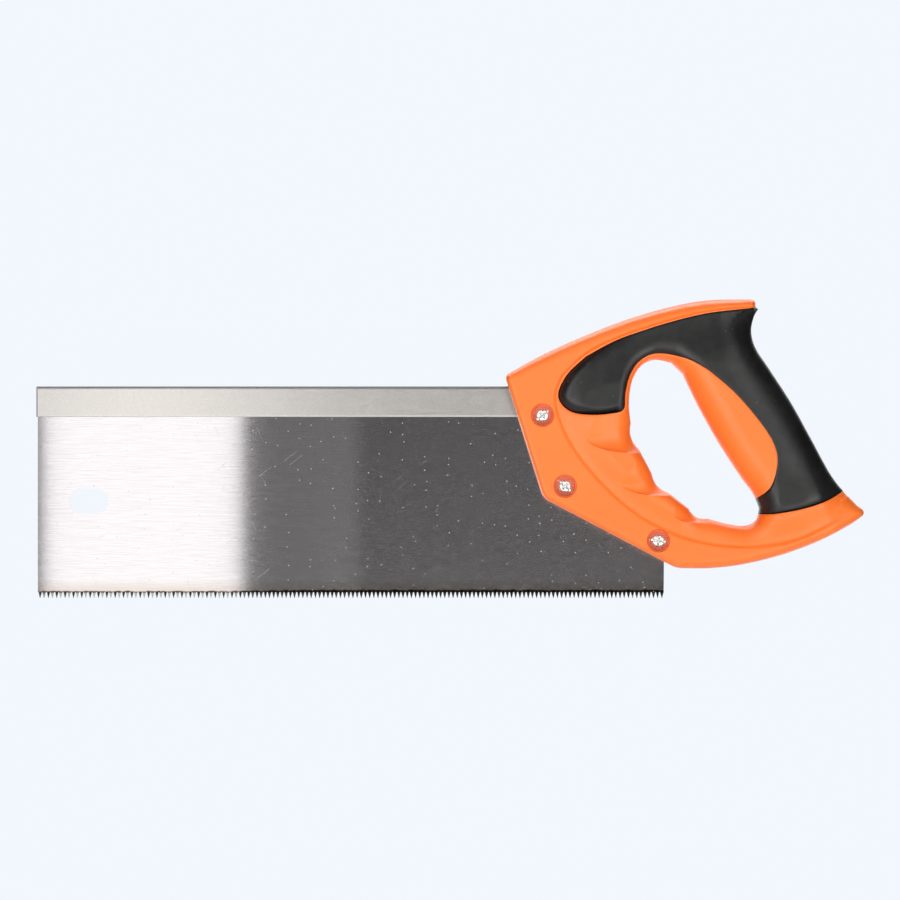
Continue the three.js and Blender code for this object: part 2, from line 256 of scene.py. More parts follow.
def nearest(points, line, batch=2000):
    """Distance from each point to a line, which segment is nearest, how far along it, and on which side."""
    starts, along = line[:-1, :2], np.diff(line[:, :2], axis=0)
    squares = (along**2).sum(1)
    distance, where, share, side = (np.zeros(len(points)) for _ in range(4))
    for first in range(0, len(points), batch):
        part = slice(first, first + batch)
        offset = points[part, None, :] - starts[None]
        t = np.clip((offset * along).sum(2) / squares, 0, 1)
        gap = np.linalg.norm(offset - along * t[..., None], axis=2)
        best = gap.argmin(1)
        rows = np.arange(len(best))
        distance[part], where[part], share[part] = gap[rows, best], best, t[rows, best]
        o, d = offset[rows, best], along[best]
        side[part] = np.sign(d[:, 0] * o[:, 1] - d[:, 1] * o[:, 0])
    return distance, where.astype(int), share, side


def closed(loop):
    """A loop with its first point repeated at the end."""
    return np.vstack([loop, loop[:1]])


def smoothstep(value, low, high):
    """Eases from 0 at one value to 1 at another."""
    t = np.clip((value - low) / (high - low), 0, 1)
    return t * t * (3 - 2 * t)


# ---- upright columns on a triangulated plane ----


def triangulate(loops, lines, loose):
    """Triangles that keep every loop and line as edges and use every loose point."""
    points, edges = [], []
    for line, is_loop in [(p, True) for p in loops] + [(p, False) for p in lines]:
        start, count = len(points), len(line)
        points += [Vector(p[:2]) for p in line]
        edges += [(start + i, start + (i + 1) % count) for i in range(count if is_loop else count - 1)]
    points += [Vector(p) for p in loose]
    flat, _, faces, _, _, _ = delaunay_2d_cdt(points, edges, [], 0, 1e-3)
    return np.array([tuple(p) for p in flat]), np.array([tuple(f) for f in faces])


def grid_points(low, high, spacing):
    """Loose points in staggered rows."""
    rows = np.arange(low[1], high[1], spacing * math.sqrt(3) / 2)
    made = []
    for i, z in enumerate(rows):
        xs = np.arange(low[0] + (i % 2) * spacing / 2, high[0], spacing)
        made.append(np.column_stack([xs, np.full(len(xs), z)]))
    return np.vstack(made)


def thinned(points, gap):
    """The points less those that share a small square with an earlier one."""
    _, first = np.unique(np.round(points / gap).astype(int), axis=0, return_index=True)
    return points[np.sort(first)]


def twin_triangles(triangles):
    """The two ends of each triangle edge, in order, and the triangle across it, or -1."""
    count = triangles.max() + 1
    starts, ends = triangles.ravel(), np.roll(triangles, -1, axis=1).ravel()
    keys, wanted = starts * count + ends, ends * count + starts
    order = np.argsort(keys)
    found = np.clip(np.searchsorted(keys[order], wanted), 0, len(keys) - 1)
    match = keys[order][found] == wanted
    return starts, ends, np.where(match, order[found] // 3, -1)


def columns(plane, triangles, levels, filled):
    """Points and faces of a closed solid. levels[k] is the y of level k at each plane point, rising with k,
    and filled[k] says which triangles are solid between level k and the next."""
    depth = len(levels)
    above = np.vstack([filled, np.zeros(len(triangles), bool)])
    below = np.vstack([np.zeros(len(triangles), bool), filled])
    faces = []
    for k in range(depth):
        faces += (triangles[above[k] & ~below[k]] * depth + k).tolist()
        faces += (triangles[below[k] & ~above[k]][:, ::-1] * depth + k).tolist()
    starts, ends, across = twin_triangles(triangles)
    owner = np.repeat(np.arange(len(triangles)), 3)
    for k in range(depth - 1):
        beyond = np.where(across >= 0, filled[k][across], False)
        wall = filled[k][owner] & ~beyond
        u, v = starts[wall] * depth + k, ends[wall] * depth + k
        faces += np.column_stack([u, u + 1, v + 1, v]).tolist()
    used, flat = np.unique(np.concatenate([np.array(f) for f in faces]), return_inverse=True)
    sizes = np.cumsum([0] + [len(f) for f in faces])
    faces = [flat[a:b].tolist() for a, b in zip(sizes[:-1], sizes[1:])]
    height = np.array(levels)[used % depth, used // depth]
    at = plane[used // depth]
    return np.column_stack([at[:, 0], height, at[:, 1]]), faces


def add_object(name, data):
    """Puts a mesh, a lamp or a camera in the scene."""
    made = bpy.data.objects.new(name, data)
    bpy.context.scene.collection.objects.link(made)
    return made


def add_piece(name, points, faces, material, slot, node, sharp=35):
    """A piece of the saw from points in millimetres, riding on the saw's body and standing for a CAD node."""
    mesh = bpy.data.meshes.new(name)
    mesh.from_pydata(((points + (HEEL, 0, 0)) * MM).tolist(), [], faces)
    mesh.shade_smooth()
    mesh.set_sharp_from_angle(angle=math.radians(sharp))
    mesh.materials.append(material)
    piece = add_object(name, mesh)
    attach(piece, BODY)
    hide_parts(node)


# ---- outlines of the handle; a third number is how far in the surface is rounded over there ----


# The palm's side from the top down, in two stretches, and the roll at each of their points.
PALM_TOP = [(43.0, 134.6), (41.8, 127.5), (44.0, 119.6), (50.3, 110.0)]
PALM_BACK = [(60.8, 93.8), (70.1, 77.0), (79.3, 60.1), (85.8, 51.3)]
PALM_ROLLS = [12, 16, 20, 22, 23, 23, 23, 18]
# The front end of the soft grip, where the thumb rests: its upper edge, then round to its lower corner.
PAD_TOP = [(-9.4, 128.4), (-23.9, 123.1), (-37.5, 115.7)]
PAD_END = [(-46.0, 107.8), (-50.6, 99.2), (-49.6, 93.4), (-43.5, 88.8), (-32.5, 87.7), (-22.6, 88.8)]
# The lower end of the soft grip, from the hand opening to the palm.
FOOT_CORNER = (38, 40.6)
GRIP_FOOT = [(46.5, 40.2), (56.0, 40.9), (68.3, 43.5), (78.5, 47.2), (90, 53.9)]


def silhouette():
    """The handle's outer edge, clockwise from its upper front corner."""
    top = [(-59.2, 116.1, 5), (-41.6, 124.2, 5), (-20, 132.7, 5), (2.2, 139.3, 5), (21.2, 142.7, 5)]
    palm = [(x, z, roll) for (x, z), roll in zip(PALM_TOP + PALM_BACK, PALM_ROLLS)]
    foot = [(88.5, 34.8, 4), (74.7, 27.7, 4), (56.6, 20.9, 4), (37.8, 16.3, 4), (22.4, 14.5, 4)]
    path = Outline(-75.3, 103.6, 2.4).bend((-76.3, 106.5, 3), (-74.8, 107.4, 3.4))
    path.curve(*top, (41.5, 143.1, 4)).bend((43.8, 143.0, 2.5), (43.8, 140.9, 2.5))
    path.line(43.8, 139.7, 2.5).line(45.2, 138.4, 2.5).curve(*palm, (88.0, 49.0, 9))
    path.line(92.4, 44.5, 5).line(94.4, 43.1, 4).bend((97.0, 40.9, 4), (94.4, 38.9, 4))
    path.curve(*foot, (10.5, 14.4, 4)).bend((6.0, 14.3, 3), (3.0, 15.9, 3))
    path.line(-54.8, 46.3, 3).bend((-57.9, 47.9, 2.4), (-58.9, 51.3, 2.4))
    return path.line(-75.3, 103.6, 2.4).array()[:-1]


def hand_opening():
    """The hand opening, up its front, over its top, down its back and round its foot."""
    back = [(15.7, 93.2, 14), (25.2, 76.0, 14), (35.8, 59.5, 14), (42.7, 49.9, 14), (45.6, 42.9, 12)]
    path = Outline(-15.9, 83.7, 7)
    path.curve((-16.9, 93.0, 6), (-15.6, 103.4, 6), (-11.3, 110.9, 7), (-4.3, 114.2, 9), (3.3, 112.8, 11))
    path.curve((8.9, 107.4, 12)).curve(*back)
    path.curve((43.9, 37.3, 12), (38.7, 34.7, 12), (30.9, 35.5, 12), (21.2, 38.1, 12))
    path.bend((14.8, 37.3, 10), (11.7, 43.0, 8))
    path.line(2.2, 50.4, 7).bend((-4.7, 52.8, 7), (-6.0, 60.0, 7)).line(-12.2, 71.5, 7)
    return path.bend((-17.5, 76.5, 7), (-15.9, 83.7, 7)).array()[:-1]


def grip_seam():
    """The edge of the soft grip, with the grip on its left, from clear of the palm to clear of it again."""
    path = Outline(50, 139.8)
    path.curve((36, 138.3), (20.5, 136.4), (5.4, 132.9), *PAD_TOP)
    path.curve(*PAD_END)
    path.bend((-19.0, 89.4), (-18.9, 92.8))
    path.curve((-18.6, 98.8), (-16.2, 107.4), (-11.0, 114.2), (-2.8, 117.1), (10.5, 114.6), (20.7, 109.2))
    path.curve((32.5, 99.2), (42.9, 87.6), (51.2, 75.6), (53.7, 65.4), (50.7, 53.8), (44.4, 48.1))
    path.line(38, 44.5).line(*FOOT_CORNER)
    return path.curve(*GRIP_FOOT).line(105, 60).array()


def cheek_line():
    """The crease where the flat cheek and rims give way to the swelling of the grip, which is on its left."""
    path = Outline(60, 141.6)
    path.curve((43.8, 139.9), (23.2, 138.0), (0.6, 132.9), (-22, 125.3), (-37.5, 117.6), (-49.3, 106.8))
    path.curve((-52.7, 96.0), (-49.2, 82.1), (-42.4, 69.7), (-33.4, 58.4), (-22, 47), (-10.7, 38.4))
    path.curve((3.0, 31.4), (17.5, 26.9), (34.5, 24.8), (51.5, 25.6), (68.4, 30.1), (91.5, 42.6))
    return path.line(110, 55).array()


def palm_wrap():
    """The line round the palm. The soft grip goes right through the handle beside it."""
    palm = Outline(45.9, 144).line(45.2, 138.4).curve(*PALM_TOP)
    return palm.curve(*PALM_BACK).line(89, 47.9).array()


def ring_wrap():
    """The stretch of the hand opening that the soft grip passes through."""
    return Outline(40, 35).curve((43.9, 37.3), (45.6, 42.9), (42.7, 49.9), (39, 55)).array()


def blade_slot():
    """The room for the blade and its tang in the handle, open at the front and below."""
    path = Outline(CLEAR_FRONT, CLEAR_FOOT).line(TANG_PLAY[0][0], CLEAR_FOOT)
    for (x, z), (across, up) in zip(TANG, TANG_PLAY):
        path.line(x + across, z + up)
    return path.line(CLEAR_FRONT, SPINE_TOP).line(CLEAR_FRONT, CLEAR_FOOT).array()[:-1]


def spine_slot():
    """The room for the spine in the handle, open at the front."""
    low, high, rear = SPINE_FOOT - SPINE_PLAY, SPINE_TOP + SPINE_PLAY, SPINE_REAR + SPINE_PLAY
    path = Outline(CLEAR_FRONT, low).line(rear, low).line(rear, high)
    return path.line(CLEAR_FRONT, high).line(CLEAR_FRONT, low).array()[:-1]


# ---- the handle's surface ----


def scoop_rings(scoop):
    """Rings of points just inside and outside the edge of a scoop."""
    cos, sin = cos_sin(scoop["turn"])
    rings = []
    for share in SCOOP_RINGS:
        x, z = (circle(0, 0, 1, GRID / 2 / scoop["reach"]) * share).T
        x, z = x * scoop["reach"], z * np.where(z < 0, scoop["down"], scoop["up"])
        rings.append(np.column_stack([scoop["x"] + x * cos - z * sin, scoop["z"] + x * sin + z * cos]))
    return rings


def scoop_depth(plane, scoop):
    cos, sin = cos_sin(scoop["turn"])
    x, z = plane[:, 0] - scoop["x"], plane[:, 1] - scoop["z"]
    along, across = x * cos + z * sin, z * cos - x * sin
    spread = (along / scoop["reach"]) ** 2 + (across / np.where(across < 0, scoop["down"], scoop["up"])) ** 2
    lower = smoothstep(-across / scoop["down"], -0.5, 0.4)
    power = GENTLE_POWER + (STEEP_POWER - GENTLE_POWER) * lower
    return scoop["depth"] * np.maximum(0, 1 - spread) ** power


def rolled(share, ease):
    """The drop of a rolled edge, 0 where the roll starts and 1 at the edge. With an ease of 2 it is a quarter
    of an ellipse, with more it starts later, and with less sooner."""
    return 1 - np.sqrt(1 - share**ease)


def roll_over(plane, loop, thickness, widest, roundness, ease):
    """How far the surface drops beside a rounded edge. The roll is as wide as the loop's third number, within
    a widest, and as deep as its width times its roundness, within most of the thickness."""
    ring = closed(loop)
    distance, where, share, _ = nearest(plane, ring)
    reach = ring[where, 2] * (1 - share) + ring[where + 1, 2] * share
    reach = np.minimum(reach, widest)
    depth = np.minimum(roundness * reach, MOST_ROLLED * thickness)
    return depth * rolled(np.clip(1 - distance / reach, 0, 1), ease)


def crease_relief(plane, crease, side):
    """The groove along the crease and the low step beyond it."""
    x, z = plane.T
    fade = smoothstep(CREASE_FADE["x"] - x, 0, CREASE_FADE["width"])
    fade = np.maximum(fade, smoothstep(z, CREASE_FADE["low"], CREASE_FADE["high"]))
    step = STEP_UP["height"] * smoothstep(crease * side, STEP_UP["start"], STEP_UP["end"])
    step = step * smoothstep(STEP_UP["gone"] - np.where(side > 0, crease, 0), 0, STEP_UP["dying"])
    return fade * (step - GROOVE["depth"] * np.exp(-((crease / GROOVE["width"]) ** 2)))


def pad_swell(plane, base):
    """The thumb pad stands proud and nearly level, and rolls down steeply to its seam, less and less up its
    top edge and towards the hand opening."""
    edge = Outline(*PAD_TOP[0]).curve(*PAD_TOP[1:]).curve(*PAD_END).array()
    away = nearest(plane, edge)[0]
    sink = 1 - np.clip(away / PAD["reach"], 0, 1)
    crown = 1 - np.clip(away / PAD["crown_width"], 0, 1)
    share = smoothstep(PAD_TOP[0][0] - plane[:, 0], 0, PAD["full"])
    lower = smoothstep(PAD_CORNER["z"] - plane[:, 1], 0, PAD_CORNER["z_width"])
    lower = lower * smoothstep(PAD_CORNER["x"] - plane[:, 0], 0, PAD_CORNER["x_width"])
    rise = PAD["rise"] + PAD["level"] * (GRIP_HALF - base) - PAD["crown"] * crown**2
    return np.maximum(share, lower) * (rise - PAD["drop"] * rolled(sink, SOFT_EASE))


def grip_end_roll(plane):
    """How far the soft grip sinks towards its lower end."""
    edge = Outline(*FOOT_CORNER).curve(*GRIP_FOOT).array()
    sink = 1 - np.clip(nearest(plane, edge)[0] / GRIP_END["reach"], 0, 1)
    return GRIP_END["drop"] * rolled(sink, SOFT_EASE)


def end_fall(plane, fall):
    """How far the handle falls away towards one of its rear ends."""
    cos, sin = cos_sin(fall["turn"])
    x, z = plane.T
    past = np.maximum(0, (x - fall["x"]) * cos + (z - fall["z"]) * sin)
    return smoothstep(z, fall["gone"], fall["full"]) * fall["slope"] * past**2 / (past + fall["ease"])


def handle_surface(plane):
    """Half the handle's thickness at each point."""
    crease, _, _, side = nearest(plane, cheek_line())
    swell = np.where(side > 0, crease, 0)
    widening = smoothstep(plane[:, 1], RISE["low"], RISE["high"])
    width = RISE["low_width"] + (RISE["high_width"] - RISE["low_width"]) * widening
    base = CHEEK_HALF + (GRIP_HALF - CHEEK_HALF) * smoothstep(swell / width, 0, 1)
    seam, _, _, seam_side = nearest(plane, grip_seam())
    on_grip = (seam_side > 0) & (seam > ON_SEAM)
    top = base + crease_relief(plane, crease, side)
    top += np.where(on_grip, pad_swell(plane, base) - grip_end_roll(plane), 0)
    top -= SEAM["depth"] * np.exp(-((seam / SEAM["width"]) ** 2))
    top -= sum(scoop_depth(plane, scoop) for scoop in SCOOPS)
    fallen = sum(end_fall(plane, fall) for fall in FALLS)
    widest = RIM["reach"] + RIM["growth"] * swell
    widest += PALM["reach"] * smoothstep(plane[:, 0], PALM["start"], PALM["end"])
    outer = roll_over(plane, silhouette(), base - fallen, widest, RIM["roundness"], RIM["ease"])
    inner = roll_over(plane, hand_opening(), base - fallen, GRIP_HALF, **OPENING)
    return np.clip(top - fallen - np.hypot(outer, inner), THINNEST, GRIP_HALF - INSET)


# ---- the handle ----


def handle_plane():
    """The triangulated plane of the handle, finer beside its edges, seam and crease."""
    rim, opening, seam, crease = silhouette(), hand_opening(), grip_seam(), cheek_line()
    wraps = [shifted(palm_wrap(), WRAP), shifted(ring_wrap(), WRAP)]
    joins = [circle(x, z, INTERLOCK_RADIUS) for x, z in INTERLOCKS]
    holes = screw_circles(BORE, COUNTERBORE["radius"])
    loops = [rim, opening, *holes, *joins, blade_slot(), spine_slot()]
    beside = [shifted(closed(rim), r) for r in RINGS] + [shifted(closed(opening), -r) for r in RINGS]
    beside += [shifted(line, r * way) for line in (seam, crease) for r in LINE_RINGS for way in (1, -1)]
    beside += screw_circles(*(COUNTERBORE["radius"] + r for r in HOLE_RINGS))
    beside += [ring for scoop in SCOOPS for ring in scoop_rings(scoop)]
    loose = grid_points(rim[:, :2].min(0), rim[:, :2].max(0), GRID)
    for lines, rings in (((closed(rim), closed(opening)), RINGS), ((seam, crease), LINE_RINGS)):
        for line in lines:
            loose = loose[nearest(loose, line)[0] > rings[-1] + GRID / 2]
    close = np.vstack(beside)
    close = close[inside(close, rim) & ~inside(close, opening)]
    return triangulate(loops, [seam, crease, *wraps], np.vstack([thinned(close, CLOSEST), loose]))


def handle_zones(centres):
    """Which triangles of the handle's plane are solid, soft grip, grip right through, and counterbore."""
    wrapped = np.zeros(len(centres), bool)
    for line in (palm_wrap(), ring_wrap()):
        wrapped |= inside(centres, np.vstack([shifted(line, WRAP), shifted(line, -WRAP)[::-1]]))
    for x, z in INTERLOCKS:
        wrapped |= inside(centres, circle(x, z, INTERLOCK_RADIUS))
    solid = inside(centres, silhouette()) & ~inside(centres, hand_opening())
    grip = solid & inside(centres, np.vstack([grip_seam(), [CLEAR_REAR]]))
    bores, sinks = (
        np.any([inside(centres, ring) for ring in screw_circles(radius)], axis=0)
        for radius in (BORE, COUNTERBORE["radius"])
    )
    return {"solid": solid & ~bores, "grip": grip, "through": grip & wrapped, "sink": sinks}


def build_handle(orange, black):
    """The handle body and its soft grip, cut from one plane so that they meet exactly along the seam. The
    slots and recesses get shallower with the handle where it is thin."""
    plane, triangles = handle_plane()
    centres = plane[triangles].mean(1)
    zone = handle_zones(centres)
    top = handle_surface(plane)
    sheet = np.minimum(BLADE_HALF + BLADE_PLAY, 0.2 * top)
    fold = np.minimum(SPINE_HALF + SPINE_PLAY, 0.4 * top)
    sink = np.minimum(COUNTERBORE["floor"], 0.7 * top)
    core = top - np.minimum(SKIN["depth"], SKIN["share"] * top)
    levels = [-top, -core, -sink, -fold, -sheet, sheet, fold, sink, core, top]
    gaps = len(levels) - 1
    skin, recess, spine, blade = [0, 8], [0, 1, 7, 8], [3, 4, 5], [4]
    body = np.tile(zone["solid"] & ~zone["through"], (gaps, 1))
    body[skin] &= ~zone["grip"]
    body[recess] &= ~zone["sink"]
    body[spine] &= ~inside(centres, spine_slot())
    body[blade] &= ~inside(centres, blade_slot())
    grip = np.tile(zone["through"], (gaps, 1))
    grip[skin] |= zone["grip"]
    shell = columns(plane, triangles, levels, body)
    overmould = columns(plane, triangles, levels, grip)
    add_piece("handle_shell", *shell, orange, "orange_plastic", "handle_body")
    add_piece("grip_overmould", *overmould, black, "black_rubber", "soft_grip")


# ---- steel ----


def toothed_outline():
    """The blade, with its hidden rear end inside the handle."""
    path = [(-TOOTH_LINE, BLADE_TOP), (-TOOTH_LINE, TOOTH_DEPTH)]
    for i in range(int(TOOTH_LINE / TOOTH_PITCH)):
        start = -TOOTH_LINE + i * TOOTH_PITCH
        tip = start + TOOTH_PITCH / 2
        path += [(start + GULLET_FLAT / 2, TOOTH_DEPTH), (tip - TIP_FLAT / 2, 0.0), (tip + TIP_FLAT / 2, 0.0)]
        path += [(start + TOOTH_PITCH - GULLET_FLAT / 2, TOOTH_DEPTH)]
    return np.array(path + TANG)


def hang_slot():
    end = HANG_SLOT["height"] / 2
    half = HANG_SLOT["length"] / 2 - end
    angles = np.radians(np.arange(-90, 270, ARC))
    x = HANG_SLOT["x"] + np.where(np.cos(angles) > 1e-9, half, -half) + end * np.cos(angles)
    return np.column_stack([x, HANG_SLOT["z"] + end * np.sin(angles)])


def set_teeth(points):
    """Bends each tooth to one side in turn, and files its edges away at a slant on the other side."""
    x, y, z = points.T
    tooth = np.floor((x + TOOTH_LINE) / TOOTH_PITCH)
    middle = -TOOTH_LINE + (tooth + 0.5) * TOOTH_PITCH
    way = np.where(tooth % 2 == 0, 1, -1)
    share = np.clip(1 - z / TOOTH_DEPTH, 0, 1)
    between_ends = np.abs(x + TOOTH_LINE / 2) < TOOTH_LINE / 2 - 0.01
    filed = (np.sign(y) == -way) & (z < TOOTH_DEPTH + 0.01) & between_ends
    x = x + np.where(filed, np.sign(middle - x) * TOOTH_BEVEL * (1 - share), 0)
    z = z + np.where(filed, TOOTH_BEVEL * (share > 0.9), 0)
    y = y + way * TOOTH_SET * share
    return np.column_stack([x, y, z])


def build_blade(steel):
    """The toothed sheet, with its hang slot and the holes for the screws."""
    outline = toothed_outline()
    holes = [hang_slot(), *screw_circles(BORE)]
    loose = grid_points((-TOOTH_LINE + 4, 7), (-6, BLADE_TOP - 3), BLADE_GRID)
    loose = loose[inside(loose, outline) & ~inside(loose, holes[0])]
    plane, triangles = triangulate([outline, *holes], [], loose)
    centres = plane[triangles].mean(1)
    solid = inside(centres, outline)
    for hole in holes:
        solid &= ~inside(centres, hole)
    half = np.full(len(plane), BLADE_HALF)
    points, faces = columns(plane, triangles, [-half, half], solid[None])
    add_piece("toothed_blade", set_teeth(points), faces, steel, "blade_steel", "blade")


def spine_section():
    """The folded strip's cross-section in y and z, as a tight U with a rounded fold and rounded feet."""
    half, foot = SPINE_HALF, SPINE_FOOT
    inner, roof = BLADE_HALF + SPINE_FIT["side"], BLADE_TOP + SPINE_FIT["top"]
    drop = half * 0.8
    fold = [(half * math.cos(a), SPINE_TOP - drop * (1 - math.sin(a))) for a in np.radians(range(0, 181, 15))]
    right = [(half - 0.3, foot), (half - 0.1, foot + 0.1), (half, foot + 0.35)]
    right += [(half, foot + 0.9), (half, SPINE_TOP - drop - 0.6)]
    left = [(-y, z) for y, z in right[::-1]]
    mouth = [(-inner, foot), (-inner, roof), (inner, roof), (inner, foot)]
    return np.array(right + fold + left + mouth)


def build_spine(steel):
    section = spine_section()
    count = len(section)
    stations = np.linspace(SPINE_FRONT, SPINE_REAR, SPINE_STATIONS)
    points = np.array([(x, y, z) for x in stations for y, z in section])
    faces = []
    for ring in range(SPINE_STATIONS - 1):
        for i in range(count):
            a, b = ring * count + i, ring * count + (i + 1) % count
            faces.append((a, b, b + count, a + count))
    last = (SPINE_STATIONS - 1) * count
    faces += [tuple(range(count))[::-1], tuple(range(last, last + count))]
    add_piece("folded_spine", points, faces, steel, "spine_steel", "spine")


def bar(size, turn):
    """A turned rectangle about the middle of a head."""
    x, z = size["length"] / 2, size["width"] / 2
    cos, sin = cos_sin(turn)
    return np.array([(-x, -z), (x, -z), (x, z), (-x, z)]) @ np.array([(cos, sin), (-sin, cos)])


def head_height(plane, recess):
    """A low dome that breaks into a steep straight slope, with the edges of its recess a little worn."""
    radius = np.hypot(plane[:, 0], plane[:, 1])
    slope = HEAD["dome"] - np.sqrt(HEAD["dome"] ** 2 - np.minimum(radius, HEAD["crown"]) ** 2)
    slope += HEAD["slope"] * np.maximum(0, radius - HEAD["crown"])
    away = np.min([nearest(plane, closed(loop))[0] for loop in recess], axis=0)
    return HEAD["seat"] + HEAD["height"] - slope - WORN * np.exp(-((away / WORN) ** 2))


def head_plane(rings, recess):
    """The triangulated plane of a head, finer beside its rim."""
    half, spacing = HEAD_GRID["half"], HEAD_GRID["spacing"]
    loose = grid_points((-half, -half), (half, half), spacing)
    loose = loose[np.hypot(loose[:, 0], loose[:, 1]) < HEAD["radius"] - HEAD_GRID["rim"]]
    beside = [circle(0, 0, HEAD["radius"] - r, 0.3) for r in HEAD_RINGS]
    return triangulate([*rings, *recess], [], np.vstack([*beside, loose]))


def build_fastener(name, place, turn, nickel, node, is_nut):
    """A saw screw or its sleeve nut: a head with a slot across it and a cross at its middle, and a shank or a
    hollow barrel. A nut is drawn as it sits, and a screw is mirrored to the other side."""
    recess = bar(SLOT, turn), bar(CROSS, turn), bar(CROSS, turn + 90)
    shank = BARREL["radius"] if is_nut else SHANK["radius"]
    end = BARREL["mouth"] if is_nut else SHANK["end"]
    rings = [circle(0, 0, HEAD["radius"], 0.3), circle(0, 0, shank, 0.4)]
    if is_nut:
        rings.append(circle(0, 0, BARREL["bore"], 0.4))
    plane, triangles = head_plane(rings, recess)
    centres = plane[triangles].mean(1)
    radius = np.hypot(centres[:, 0], centres[:, 1])
    head = radius < HEAD["radius"] * math.cos(math.pi / len(rings[0]))
    slot, *cross = (inside(centres, loop) for loop in recess)
    deep = np.any(cross, axis=0)
    solid = radius < shank
    barrel = solid & (radius >= BARREL["bore"]) if is_nut else solid
    crown = HEAD["seat"] + HEAD["height"]
    top = head_height(plane, recess)
    flat = np.ones(len(plane))
    levels = [flat * end, flat * BARREL["end"], flat * HEAD["seat"], flat * (crown - CROSS["depth"])]
    levels += [np.minimum(flat * (crown - SLOT["depth"]), top - INSET), top]
    filled = np.array([barrel, solid, head, head & ~deep, head & ~deep & ~slot])
    points, faces = columns(plane, triangles, levels, filled)
    if not is_nut:
        points[:, 1] *= -1
        faces = [face[::-1] for face in faces]
    add_piece(name, points + (place["x"], 0, place["z"]), faces, nickel, "nickel_plate", node, sharp=28)


def build_fasteners(nickel):
    """Three screws in front and their nuts behind."""
    for name, place in SCREWS.items():
        build_fastener("screw_" + name, place, place["screw_turn"], nickel, "saw_screw_" + name, False)
        build_fastener("nut_" + name, place, place["nut_turn"], nickel, "sleeve_nut_" + name, True)


# ---- materials ----


